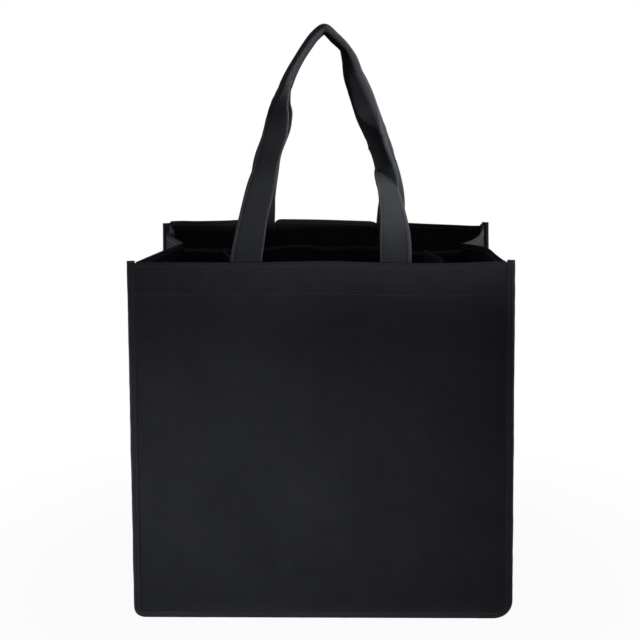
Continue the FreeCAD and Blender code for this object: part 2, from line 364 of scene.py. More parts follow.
def front_creases(x, z, below_rim):
    """How far the front panel's few creases stand out of it."""
    slanted = -100 * MM + 0.35 * (14 * MM - below_rim)
    hem_crease = bump(slanted, 4.5 * MM, x) * bump(14 * MM, 13 * MM, below_rim)
    level_crease = bump(-20 * MM, 34 * MM, x) * bump(209 * MM, 3.5 * MM, z)
    groove_rise = smooth(6 * MM, 40 * MM, z) * (1 - smooth(80 * MM, 130 * MM, z))
    groove = bump(-41 * MM, 20 * MM, x) * groove_rise
    corner_crease = bump(0, 7 * MM, x - 146 * MM + z * 0.9) * bump(10 * MM, 14 * MM, z)
    return (1.3 * hem_crease - 0.35 * level_crease - 1.0 * groove + 0.8 * corner_crease) * MM


def panel_out(side, x, z):
    """How far a panel stands out of its flat plane."""
    size = sizes()
    share = clamp(abs(x) / SEAM_X)
    free = 1 - share**4
    up = clamp(z / RIM)
    below_rim = rim_height(side, x) - z
    out = size.belly * free * math.sin(math.pi * up**0.8)
    low = smooth(8 * MM, 60 * MM, z) * (1 - smooth(150 * MM, 245 * MM, z))
    for centre in CELL_CENTRES:
        out += size.cell_swell * low * free * (bump(centre, CELL_REACH, x) - 0.5)
    still = free * smooth(0, 30 * MM, z)
    out += 0.55 * MM * still * ripple(x, z, 85 * MM, 3.1 * side)
    out += 0.22 * MM * still * ripple(x, z, 30 * MM, 7.7 * side)
    for line in (RIM_STITCH, size.hem):
        out -= 0.22 * MM * bump(line, 2.6 * MM, below_rim)
    if side == FRONT:
        out += front_creases(x, z, below_rim)
    return out


def panel_point(side, x, z, inward=0.0):
    """A point on the middle of a panel's cloth, or that far inside it."""
    return Vector((x, side * (PANEL_OUTER_Y - sizes().cloth / 2 + panel_out(side, x, z) - inward), z))


def tuck(hand, y, z):
    """How far a gusset is tucked in at a place in its depth and a height."""
    place = y / MM
    foot = sizes().tuck_foot
    crease = TUCK_BACK[hand][0][0]
    half = TUCK_FRONT[hand] if place < crease else TUCK_BACK[hand]
    sharp = through(half, place) * MM
    soft = TUCK_BACK[hand][0][1] * MM * math.cos(math.pi / 2 * clamp(place / 104, -1, 1)) ** 2
    grown = clamp((z - foot) / (RIM - foot)) ** 1.25
    return grown * lerp(soft, sharp, smooth(foot, RIM - 45 * MM, z))


def gusset_out(hand, y, z):
    """How far a gusset stands out of its flat wall, before its tuck."""
    size = sizes()
    free = 1 - clamp(abs(y) / LIP_Y) ** 4
    low = smooth(12 * MM, 60 * MM, z) * (1 - smooth(130 * MM, 220 * MM, z))
    out = 0.0
    for centre in (-PARTITION_X, PARTITION_X):
        out += size.cell_swell * low * free * bump(centre, CELL_REACH, y)
    below = size.tuck_foot - z
    spread = bump(0, 8 * MM, abs(y) - max(below, 0) * 0.72) * smooth(0, 20 * MM, below)
    out -= 1.1 * MM * free * spread * (1 - smooth(60 * MM, 105 * MM, below))
    out -= 0.7 * MM * bump(0, 3 * MM, y) * smooth(10 * MM, 40 * MM, z)
    out += 0.5 * MM * free * ripple(y, z, 60 * MM, 11.3 * hand)
    out += 0.2 * MM * free * ripple(y, z, 24 * MM, 17.9 * hand)
    return out


def gusset_rim(hand, y):
    """Height of a gusset's top edge, which sinks a little where it is tucked in."""
    return RIM - 0.05 * tuck(hand, y, RIM) - 0.2 * MM


Station = namedtuple("Station", "x z across_x across_z")


def wall_station(hand, z, y):
    """A place on the upright line of a side, with the direction into the bag."""
    wall = SEAM_X - FLANGE - sizes().cloth / 2
    return Station(hand * (wall + lean_out(z, y)), z, -hand, 0.0)


def corner_foot(hand):
    """Height at which a side seam starts to turn into the base."""
    return BASE_MIDDLE + CORNER_TURN[hand]


def corner_stations(hand, count):
    """The seam line's turn from a side into the base, from the side to the base."""
    radius = CORNER_TURN[hand]
    top = wall_station(hand, corner_foot(hand), 0.0)
    stations = []
    for angle in evenly(0, math.pi / 2, count):
        into_x = -hand * math.cos(angle)
        into_z = math.sin(angle)
        x = top.x - hand * radius + hand * radius * math.cos(angle)
        z = top.z - radius * math.sin(angle)
        stations.append(Station(x, z, into_x, into_z))
    return stations


def base_stations(count):
    """The seam line along the base, between its two turns."""
    left = corner_stations(LEFT, 2)[-1].x
    right = corner_stations(RIGHT, 2)[-1].x
    return [Station(x, BASE_MIDDLE, 0.0, 1.0) for x in evenly(left, right, count)]


def seam_point(station, outward, y):
    """A point that far outside the seam line, in the plane of the seam's flange."""
    return Vector((station.x - station.across_x * outward, y, station.z - station.across_z * outward))


def lip_places():
    """The cloth's run across the bag: (depth, distance outside the seam line), from front lip to back lip."""
    turn = 2.0 * MM
    lip = FLANGE - 0.4 * MM
    wall_end = LIP_Y - turn
    rounded = [(turn * math.sin(a), turn * (1 - math.cos(a))) for a in evenly(0, math.pi / 2, 5)]
    lip_run = [(LIP_Y, d) for d in stepped(lip, (turn, 3))[:-1]]
    back = lip_run + [(wall_end + along, out) for along, out in reversed(rounded)]
    wall = [(y, 0.0) for y in evenly(-wall_end, wall_end, 79)[1:-1]]
    front = [(-y, out) for y, out in back]
    return front + wall + list(reversed(back))


# Cloth pieces of the bag


def hem_turns():
    """The fold over a rim: (drop below the rim, distance inside the outer layer)."""
    angles = evenly(0, math.pi, 5)
    return [(HEM_TURN * (1 - math.sin(a)), HEM_TURN * (1 - math.cos(a))) for a in angles]


def hem_drops():
    """The hem's inner layer below its fold: (drop below the rim, distance inside the outer layer)."""
    return [(drop, 2 * HEM_TURN) for drop in stepped(HEM_TURN, (5 * MM, 4), (sizes().hem, 14))[1:]]


def panel_grids(side):
    """Middle points of a panel's outer layer, and of the hem that folds in at its rim."""
    hem_share = 1 - (FLANGE + 1.4 * MM) / SEAM_X
    shares = stepped(-1.0, (-hem_share, 5), (hem_share, 90), (1.0, 5))
    outer = []
    for up in stepped(0.0, (0.06, 12), (0.9, 64), (1.0, 16)):
        row = []
        for share in shares:
            hand = LEFT if share < 0 else RIGHT
            top = rim_height(side, share * SEAM_X) - HEM_TURN
            z = lerp(PANEL_FOOT, top, up)
            row.append(panel_point(side, share * panel_half(side, hand, z), z))
        outer.append(row)
    hem = [[point.copy() for point, share in zip(outer[-1], shares) if abs(share) <= hem_share + 1e-6]]
    for drop, inward in hem_turns()[1:] + hem_drops():
        hem.append([panel_point(side, p.x, rim_height(side, p.x) - drop, inward) for p in hem[0]])
    return [outer, hem]


def gusset_point(hand, y, z, outward=0.0, inward=0.0):
    """A point on the middle of a gusset's cloth, or that far inside it."""
    point = seam_point(wall_station(hand, z, y), outward, y)
    step = 1.0 * MM
    slope = (tuck(hand, y + step, z) - tuck(hand, y - step, z)) / (2 * step)
    inward *= math.sqrt(1 + slope * slope)
    point.x += hand * (gusset_out(hand, y, z) - tuck(hand, y, z) - inward)
    return point


def gusset_grids(hand):
    """Middle points of a gusset from its base turn to its rim, and of its hem."""
    places = lip_places()
    foot = corner_foot(hand)
    outer = []
    for up in stepped(0.0, (0.3, 16), (0.94, 52), (1.0, 8)):
        row = []
        for y, outward in places:
            z = lerp(foot, gusset_rim(hand, y) - HEM_TURN, up)
            row.append(gusset_point(hand, y, z, outward))
        outer.append(row)
    wall = [i for i, (y, outward) in enumerate(places) if outward == 0.0]
    hem = [[outer[-1][i].copy() for i in wall]]
    for drop, inward in hem_turns()[1:] + hem_drops():
        row = []
        for i in wall:
            y = places[i][0]
            row.append(gusset_point(hand, y, gusset_rim(hand, y) - drop, 0.0, inward))
        hem.append(row)
    return [outer, hem]


def base_grid():
    """Middle points of the base, which turns up into both gussets at its ends."""
    right_turn = list(reversed(corner_stations(RIGHT, 7)))
    stations = corner_stations(LEFT, 7)[:-1] + base_stations(61) + right_turn[1:]
    rows = []
    for station in stations:
        row = []
        for y, outward in lip_places():
            point = seam_point(station, outward, y)
            flat = station.across_z * (1 - clamp(abs(y) / LIP_Y) ** 4)
            point.z += 0.25 * MM * flat * ripple(point.x, y, 40 * MM, 23.0) * (1 if outward == 0.0 else 0)
            row.append(point)
        rows.append(row)
    return rows


# Place of the centre divider's top edge in the depth, as (place across, depth) in millimetres
DIVIDER_BOW = ((-135, 3), (-92, 5), (-54, 8), (-20, 10), (6, 7), (30, 8), (56, 5), (84, -3), (135, -5))
# Height of its top edge, as (place across, lift) in millimetres
DIVIDER_LIFT = ((-135, 1), (-70, 0), (-30, 3), (-8, 2.5), (4, 0.5), (28, 2.5), (56, 1), (86, -1.5), (135, 1))


def divider_depth(x, z):
    """Depth of the centre divider at a place across and a height."""
    up = clamp((z - DIVIDER_FOOT) / (DIVIDER_TOP - DIVIDER_FOOT))
    bow = through(DIVIDER_BOW, x / MM) * MM
    return bow * up**1.6 + 0.5 * MM * up * ripple(x, z, 45 * MM, 31.0)


def divider_end(hand, z):
    """How far across the centre divider reaches, to the crease of a gusset."""
    crease = TUCK_BACK[hand][0][0] * MM
    return abs(gusset_point(hand, crease, z).x) - sizes().cloth


def divider_grid():
    """Middle points of the centre divider, which meets the gussets at their creases."""
    rows = []
    shares = evenly(-1, 1, 97)
    for up in stepped(0.0, (0.9, 40), (1.0, 8)):
        row = []
        for share in shares:
            hand = LEFT if share < 0 else RIGHT
            x = share * divider_end(hand, lerp(DIVIDER_FOOT, DIVIDER_TOP, up))
            top = DIVIDER_TOP + through(DIVIDER_LIFT, x / MM) * MM
            z = lerp(DIVIDER_FOOT, top, up)
            row.append(Vector((x, divider_depth(x, z), z)))
        rows.append(row)
    return rows


# How far the top of each cross partition leans outwards, as (share of the way from the centre divider to the
# panel, lean in millimetres)
PARTITION_LEAN = {
    (FRONT, LEFT): ((0, 40), (0.5, 24), (1, 6)),
    (FRONT, RIGHT): ((0, 40), (0.5, 40), (1, 8)),
    (BACK, LEFT): ((0, 14), (0.5, 15), (1, 14)),
    (BACK, RIGHT): ((0, 14), (0.5, 15), (1, 14)),
}
# How much further the top of the front right one bulges
PARTITION_BULGE = 14 * MM


def partition_grid(side, hand):
    """Middle points of a cross partition, from the centre divider to a panel."""
    rows = []
    bulge = PARTITION_BULGE if (side, hand) == (FRONT, RIGHT) else 0.0
    hem_clear = 4.2 * MM
    for up in stepped(0.0, (0.88, 36), (1.0, 10)):
        row = []
        for share in evenly(0, 1, 33):
            sag = 3.0 * MM * math.sin(math.pi * share) * smooth(0.8, 1.0, up)
            lift = through(DIVIDER_LIFT, hand * PARTITION_X / MM) * MM * (1 - share)
            z = lerp(DIVIDER_FOOT, DIVIDER_TOP + lift - sag, up)
            lean = through(PARTITION_LEAN[side, hand], share) * MM * smooth(0.1, 0.9, up)
            x = hand * (PARTITION_X + lean + bulge * up**4 * math.sin(math.pi * share))
            wave = ripple(share * 0.1, z, 50 * MM, 41.0 * hand + side)
            x += 1.6 * MM * up * math.sin(math.pi * share) * wave
            near = divider_depth(x, z) + side * sizes().cloth
            wall = panel_point(side, x, z, sizes().cloth).y
            far = wall - side * hem_clear * smooth(RIM - sizes().hem - 6 * MM, RIM - sizes().hem, z)
            row.append(Vector((x, lerp(near, far, share), z)))
        rows.append(row)
    return rows


# Binding tape

TAPE_STITCH = 1.9 * MM
TAPE_EDGE = FLANGE + 0.75 * MM
TAPE_MIDDLE = PANEL_OUTER_Y - 1.0 * MM


def binding_stations(side):
    """The seam line of a binding, from its left ear down, along the base and up to its right ear."""
    depth = side * LIP_Y
    left = [wall_station(LEFT, z, depth) for z in stepped(EAR_TOP, (RIM, 3), (corner_foot(LEFT), 90))]
    right = [wall_station(RIGHT, z, depth) for z in stepped(corner_foot(RIGHT), (RIM, 90), (EAR_TOP, 3))]
    turn_in = corner_stations(LEFT, 15)[1:-1]
    turn_out = list(reversed(corner_stations(RIGHT, 15)))[1:-1]
    return left + turn_in + base_stations(90) + turn_out + right


def binding_edge(side, run):
    """How far outside the seam line the tape's folded edge is, with the small waves of a sewn tape."""
    wave = 0.32 * ripple(run, side * 0.1, 26 * MM, 51.0) + 0.16 * ripple(run, side * 0.1, 9 * MM, 53.0)
    return TAPE_EDGE + wave * MM


def binding_section(leaf, fold):
    """A folded tape's outline in millimetres: (distance in from its folded edge, height over the seam)."""
    near = leaf / MM
    over = 1.72 + fold
    front = [
        (near, 1.02), (near - 0.05, 1.45), (near - 0.6, over), (near - 1.5, over - 0.1),
        (near - 1.9, over - 0.22), (near - 2.3, over - 0.1), (near - 3.4, over + 0.1),
        (1.6, over), (0.55, 1.35), (0.08, 0.6),
    ]
    lining = [(0.8, 0.5), (1.3, 1.0), (near - 1.9, 1.0)]
    back = [(d, -height) for d, height in reversed(front)]
    return front + back + [(d, -height) for d, height in reversed(lining)] + lining


def mitre(station):
    """Extra height of the fold where the tape turns a bottom corner."""
    turned = abs(station.across_x) * abs(station.across_z) * 2
    return 0.55 * turned**3


def binding_rings(side):
    """Rings of a binding tape folded over the seam of a panel."""
    stations = binding_stations(side)
    rings = []
    run = 0.0
    for i, station in enumerate(stations):
        if i:
            run += math.hypot(station.x - stations[i - 1].x, station.z - stations[i - 1].z)
        edge = binding_edge(side, run)
        leaf = sizes().tape_leaf * (1 + 0.035 * ripple(run, side * 0.1, 34 * MM, 57.0))
        ring = []
        for inward, height in binding_section(leaf, mitre(station)):
            ring.append(seam_point(station, edge - inward * MM, side * (TAPE_MIDDLE + height * MM)))
        rings.append(ring)
    return rings


def binding_stitch_lines(side):
    """Lines of stitching through a binding, on its outer and inner faces."""
    stations = [s for s in binding_stations(side) if s.z < RIM + 1 * MM]
    edge = TAPE_EDGE - sizes().tape_leaf + TAPE_STITCH
    lines = []
    for face in (1, -1):
        line = []
        for station in stations:
            height = 1.52 * MM + mitre(station) * MM
            line.append(seam_point(station, edge, side * (TAPE_MIDDLE + face * height)))
        lines.append(line)
    return lines


# Base board


def board_mesh(name):
    """A flat board with rounded corners and broken edges."""
    low, high = BOARD_BOX
    radius = 9 * MM
    outline = []
    for corner_x, corner_y, first in ((1, 1, 0.0), (-1, 1, 0.5), (-1, -1, 1.0), (1, -1, 1.5)):
        for angle in evenly(first * math.pi, (first + 0.5) * math.pi, 9):
            x = corner_x * (high.x - radius) + radius * math.cos(angle)
            y = corner_y * (high.y - radius) + radius * math.sin(angle)
            outline.append((x, y))
    board = bmesh.new()
    lower = board.faces.new([board.verts.new((x, y, low.z)) for x, y in outline])
    raised = bmesh.ops.extrude_face_region(board, geom=[lower])
    for vert in (v for v in raised["geom"] if isinstance(v, bmesh.types.BMVert)):
        vert.co.z = high.z
    bmesh.ops.recalc_face_normals(board, faces=board.faces[:])
    rims = [e for e in board.edges if abs(e.verts[0].co.z - e.verts[1].co.z) < 1e-9]
    bmesh.ops.bevel(board, geom=rims, offset=0.5 * MM, segments=2, affect="EDGES")
    return object_from(board, name)


# Handle straps

StrapPlace = namedtuple(
    "StrapPlace",
    "height across tilt first_fold second_fold inner_turn middle_turn outer_turn softness",
    defaults=[0.06],
)

# Each leg from its root to the top: height over the rim and place across in millimetres, how far the strap
# faces upwards in degrees, its two lengthwise folds as shares of the width from the inner edge, the turn of
# each of the three strips in degrees, and half the width over which a fold is rounded, as a share
STRAP_LEGS = {
    LEFT: (
        StrapPlace(0, 63.5, 0, 0, 1, 0, 0, -30),
        StrapPlace(16, 61, 24, 0, 1, 0, -10, -40),
        StrapPlace(33, 58.2, 26, 0, 1, 0, -18, -50),
        StrapPlace(60, 51.9, 26, 0, 1, 0, -20, -55),
        StrapPlace(80, 46.6, 20, 0, 1, 0, -36, -60),
        StrapPlace(103, 40.2, 16, 0, 1, 0, -33, -62),
        StrapPlace(117, 38.1, 10, 0, 1, 0, -40, -64),
        StrapPlace(125, 37.3, 5, 0, 0.72, 0, -42, -68),
        StrapPlace(132, 35.7, 0, 0, 0.42, 0, -36, -72),
        StrapPlace(141, 32.6, 0, 0, 0.18, 0, 0, -77),
        StrapPlace(150, 29, 0, 0, 0.25, 0, 50, -78),
        StrapPlace(162, 22.6, 0, 0, 0.4, 0, 72, -77),
        StrapPlace(178, 12, 0, 0, 0.44, 0, 74, -75),
        StrapPlace(187, 4.5, 0, 0, 0.46, 0, 74, -74),
    ),
    RIGHT: (
        StrapPlace(0, 64, 0, 1, 1, 0, 20, -30),
        StrapPlace(16, 63.8, 24, 1, 1, -8, 30, -30),
        StrapPlace(31, 63, 26, 1, 1, -26, 40, -40),
        StrapPlace(50, 60, 26, 1, 1, -40, 46, -45),
        StrapPlace(59, 58, 24, 1, 1, -44, 48, -48),
        StrapPlace(69, 56.3, 8, 0.5, 0.96, -42, 50, -48),
        StrapPlace(80, 54, -8, 0, 0.9, -40, 50, -45),
        StrapPlace(97, 48.3, -14, 0, 0.88, 46, 46, -42),
        StrapPlace(98.5, 47.8, -14, 0.87, 0.89, 46, 28, -42),
        StrapPlace(107, 44.5, -16, 0.66, 0.88, 48, 20, -50),
        StrapPlace(117, 40.7, -16, 0.32, 0.82, 52, 20, -55),
        StrapPlace(128, 37, -14, 0.12, 0.75, 60, 24, -58),
        StrapPlace(142, 31.5, -8, 0.24, 0.78, 64, 30, -58, 0.1),
        StrapPlace(150, 28.5, -4, 0.32, 0.78, 68, 36, -58, 0.1),
        StrapPlace(165, 24.8, 0, 0.36, 0.76, 74, 54, -62, 0.08),
        StrapPlace(175, 20.2, 0, 0.4, 0.74, 78, 72, -70),
        StrapPlace(184, 11.2, 0, 0.2, 0.66, 76, 74, -73),
    ),
}
STRAP_TOP = StrapPlace(191.2, 2.5, 0, 0, 0.5, 76, 74, -74)
# How much further apart the back strap's legs stand, as (height, distance) in millimetres
BACK_SPREAD = {
    LEFT: ((0, 0), (40, 3), (65, 4.5), (80, 4), (105, 1.5), (125, 0), (191.5, 0)),
    RIGHT: ((0, 0), (30, 2), (60, 2), (100, 0), (191.5, 0)),
}
STRAP_LEAN = math.radians(26)
LEAN_START = 3 * MM
# How much further from each other the two straps stay where they meet, so that the folded back one nests
STRAP_CLEAR = 2 * MM
CLEAR_FROM, CLEAR_TO = 110 * MM, 150 * MM
# Thickness of a strap at its edges, as a share of its full thickness
EDGE_THICKNESS = 0.42
STRAP_SHARES = stepped(0.0, (0.03, 1), (0.075, 1), (0.12, 1), (0.88, 20), (0.925, 1), (0.97, 1), (1.0, 1))
STITCH_SHARES = (2, len(STRAP_SHARES) - 3)

Section = namedtuple("Section", "middles normals")


def strap_thickness_share(share):
    """Thickness of a strap across its width: thin at its edges, and drawn in by the stitching."""
    edge = min(share, 1 - share)
    return through(((0.0, EDGE_THICKNESS), (0.03, 0.82), (0.075, 0.72), (0.12, 0.9), (0.3, 1.0)), edge)


def strap_controls():
    """The strap's places from the left root over the top to the right root, and the run to each."""
    places = []
    for hand in (LEFT, RIGHT):
        leg = [place._replace(across=hand * place.across) for place in STRAP_LEGS[hand]]
        places += leg + [STRAP_TOP] if hand == LEFT else list(reversed(leg))
    runs = [0.0]
    for a, b in zip(places, places[1:]):
        rise = (b.height - a.height) / math.cos(STRAP_LEAN)
        runs.append(runs[-1] + math.hypot(b.across - a.across, rise))
    return places, runs


def strap_place(controls, run):
    """All of a strap's values at a run along it, in millimetres."""
    places, runs = controls
    values = []
    for index, name in enumerate(StrapPlace._fields):
        curve = [(r, place[index]) for r, place in zip(runs, places)]
        value = through(curve, run)
        values.append(clamp(value) if name.endswith("fold") else value)
    return StrapPlace(*values)


def strap_line(side, controls, run):
    """The strap's middle line at a run along it, and the outward direction of its leaning plane."""
    place = strap_place(controls, run)
    rise = place.height * MM / math.cos(STRAP_LEAN)
    eased = 1 - math.exp(-rise / LEAN_START)
    inward = math.sin(STRAP_LEAN) * (rise - LEAN_START * eased)
    inward -= STRAP_CLEAR * smooth(CLEAR_FROM, CLEAR_TO, rise)
    depth = TAIL_Y - inward + panel_out(side, place.across * MM, RIM) * (1 - smooth(0, 25 * MM, rise))
    wave = 1.3 * MM * smooth(10 * MM, 60 * MM, rise) * ripple(run * MM, side * 0.2, 46 * MM, 61.0)
    tilt = math.radians(place.tilt)
    facing = Vector((0.0, side * math.cos(tilt), math.sin(tilt)))
    across = place.across
    if side == BACK:
        hand = LEFT if across < 0 else RIGHT
        across += hand * through(BACK_SPREAD[hand], place.height)
    point = Vector((across * MM, side * depth, RIM + place.height * MM)) + facing * wave
    return point, facing, place


def past_fold(fold, softness, share):
    """How far a share of a strap's width lies past a rounded fold; at 0 all of it does, and at 1 none."""
    if fold <= 0.0:
        return 1.0
    if fold >= 1.0:
        return 0.0
    return smooth(fold - softness, fold + softness, share)


def strap_profile(side, place):
    """The folded strap's cross section about its middle: (outward, towards, turn) at each width share."""
    width = sizes().strap
    sense = -side
    steps = 240
    turns = []
    for i in range(steps + 1):
        share = i / steps
        first = past_fold(place.first_fold, place.softness, share)
        second = past_fold(place.second_fold, place.softness, share)
        turn = lerp(lerp(place.inner_turn, place.middle_turn, first), place.outer_turn, second)
        turns.append(sense * math.radians(turn))
    line = [(0.0, 0.0)]
    for a, b in zip(turns, turns[1:]):
        out, towards = line[-1]
        half = (a + b) / 2
        line.append((out + math.cos(half) * width / steps, towards + math.sin(half) * width / steps))
    middle_out = (max(p[0] for p in line) + min(p[0] for p in line)) / 2
    middle_towards = sum(p[1] for p in line) / len(line)
    profile = []
    for share in STRAP_SHARES:
        index = min(steps, round(share * steps))
        out, towards = line[index]
        profile.append((out - middle_out, towards - middle_towards, turns[index]))
    return profile


def strap_sections(side):
    """Cross sections of a strap from its left sewn end over the top to its right sewn end."""
    controls = strap_controls()
    total = controls[1][-1]
    bend = 8
    root = 26
    runs = stepped(0.0, (bend, 32), (root, 16), (total - root, 230), (total - bend, 16), (total, 32))
    step = 0.4
    sections = []
    for run in runs:
        point, facing, place = strap_line(side, controls, run)
        ahead = strap_line(side, controls, min(total, run + step))[0]
        behind = strap_line(side, controls, max(0.0, run - step))[0]
        along = (ahead - behind).normalized()
        outward = (facing.cross(along) * -side).normalized()
        facing = (along.cross(outward) * -side).normalized()
        middles = []
        normals = []
        for out, towards, turn in strap_profile(side, place):
            middles.append(point + outward * out + facing * towards)
            normals.append(facing * math.cos(turn) - outward * math.sin(turn))
        sections.append(Section(middles, normals))
    return [*strap_tail(side, sections[0], False), *sections, *strap_tail(side, sections[-1], True)]


def strap_tail(side, root, last):
    """Cross sections of a strap's sewn end, hanging flat behind the hem from its root."""
    drops = stepped(0.0, (6 * MM, 6), (RIM - TAIL_FOOT, 14))[1:]
    tail = []
    for drop in drops:
        middles = []
        for middle in root.middles:
            shift = panel_out(side, middle.x, RIM - drop) - panel_out(side, middle.x, RIM)
            middles.append(middle + Vector((0.0, side * shift, -drop)))
        tail.append(Section(middles, [Vector((0.0, side, 0.0)) for _ in middles]))
    return tail if last else list(reversed(tail))


def strap_rings(sections):
    """Closed rings round a strap's two faces."""
    rings = []
    for section in sections:
        halves = [sizes().strap_thickness / 2 * strap_thickness_share(share) for share in STRAP_SHARES]
        front = [m + n * h for m, n, h in zip(section.middles, section.normals, halves)]
        back = [m - n * h for m, n, h in zip(section.middles, section.normals, halves)]
        rings.append(front + list(reversed(back)))
    return rings


def strap_stitch_lines(sections):
    """Lines of stitching along both edges of a strap, on both of its faces."""
    lines = []
    for index in STITCH_SHARES:
        over = sizes().strap_thickness / 2 * strap_thickness_share(STRAP_SHARES[index])
        for face in (1, -1):
            lines.append([s.middles[index] + s.normals[index] * over * face for s in sections])
    return lines


# Stitching, as a Geometry Nodes tree that lays threads along lines


def stitch_tree():
    """A tree that puts a thread at every pitch along the lines of a mesh."""
    tree = bpy.data.node_groups.new("Stitch row", "GeometryNodeTree")
    tree.interface.new_socket("Lines", in_out="INPUT", socket_type="NodeSocketGeometry")
    for name in ("Pitch", "Length", "Thread"):
        tree.interface.new_socket(name, in_out="INPUT", socket_type="NodeSocketFloat")
    tree.interface.new_socket("Material", in_out="INPUT", socket_type="NodeSocketMaterial")
    tree.interface.new_socket("Stitches", in_out="OUTPUT", socket_type="NodeSocketGeometry")
    nodes = tree.nodes
    given = nodes.new("NodeGroupInput")
    result = nodes.new("NodeGroupOutput")
    curve = nodes.new("GeometryNodeMeshToCurve")
    points = nodes.new("GeometryNodeCurveToPoints")
    points.mode = "LENGTH"
    turn = nodes.new("FunctionNodeAlignRotationToVector")
    turn.axis = "Z"
    thread = nodes.new("GeometryNodeMeshUVSphere")
    thread.inputs["Segments"].default_value = 6
    thread.inputs["Rings"].default_value = 5
    thread.inputs["Radius"].default_value = 0.5
    shape = nodes.new("ShaderNodeCombineXYZ")
    place = nodes.new("GeometryNodeInstanceOnPoints")
    real = nodes.new("GeometryNodeRealizeInstances")
    soften = nodes.new("GeometryNodeSetShadeSmooth")
    paint = nodes.new("GeometryNodeSetMaterial")
    link_all(tree, (
        (given, "Lines", curve, "Mesh"),
        (curve, "Curve", points, "Curve"),
        (given, "Pitch", points, "Length"),
        (points, "Tangent", turn, "Vector"),
        (given, "Thread", shape, "X"),
        (given, "Thread", shape, "Y"),
        (given, "Length", shape, "Z"),
        (points, "Points", place, "Points"),
        (thread, "Mesh", place, "Instance"),
        (turn, "Rotation", place, "Rotation"),
        (shape, "Vector", place, "Scale"),
        (place, "Instances", real, "Geometry"),
        (real, "Geometry", soften, "Geometry"),
        (soften, "Geometry", paint, "Geometry"),
        (given, "Material", paint, "Material"),
        (paint, "Geometry", result, "Stitches"),
    ))
    return tree


def stitches(name, lines, body=None):
    """A piece made of all stitches along the given lines, riding on a body where one is given."""
    tree = bpy.data.node_groups.get("Stitch row") or stitch_tree()
    points = []
    edges = []
    for line in lines:
        first = len(points)
        points += line
        edges += [(first + i, first + i + 1) for i in range(len(line) - 1)]
    mesh = bpy.data.meshes.new(name)
    mesh.from_pydata(points, edges, [])
    item = new_object(name, mesh)
    row = item.modifiers.new("Stitches", "NODES")
    row.node_group = tree
    values = {
        "Pitch": sizes().stitch_pitch,
        "Length": sizes().stitch_length,
        "Thread": sizes().thread,
        "Material": thread_material(),
    }
    for socket in tree.interface.items_tree:
        if socket.name in values:
            row[socket.identifier] = values[socket.name]
    plain_mesh(item)
    if body:
        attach(item, body)
    return item


def panel_stitch_lines(side):
    """Two lines of stitching through a panel's hem, on its outer and inner faces."""
    lines = []
    ends = SEAM_X - FLANGE - 0.5 * MM
    half = sizes().cloth / 2
    leg = STRAP_LEGS[LEFT][0].across * MM
    strap_half = sizes().strap / 2
    for drop in (RIM_STITCH, sizes().hem - HEM_STITCH_UP):
        outer = []
        inner = []
        for x in evenly(-ends, ends, 241):
            z = rim_height(side, x) - drop
            outer.append(panel_point(side, x, z, -half))
            over_strap = 1 - smooth(strap_half, strap_half + 1.5 * MM, abs(abs(x) - leg))
            lining = 2 * HEM_TURN + half + over_strap * (sizes().strap_thickness + 0.2 * MM)
            inner.append(panel_point(side, x, z, lining))
        lines += [outer, inner]
    return lines


def gusset_stitch_lines(hand):
    """Two lines of stitching through a gusset's hem, on its outer and inner faces."""
    lines = []
    half = sizes().cloth / 2
    ends = LIP_Y - 3 * MM
    for drop in (RIM_STITCH, sizes().hem - HEM_STITCH_UP):
        for inward in (-half, 2 * HEM_TURN + half):
            line = []
            for y in evenly(-ends, ends, 161):
                line.append(gusset_point(hand, y, gusset_rim(hand, y) - drop, 0.0, inward))
            lines.append(line)
    return lines


# Materials

CLOTH_DOTS = 1.25 * MM
TAPE_DOTS = 1.05 * MM
STRAP_DOTS_TURN = 0.785
FLUTE_PITCH = 4.2 * MM


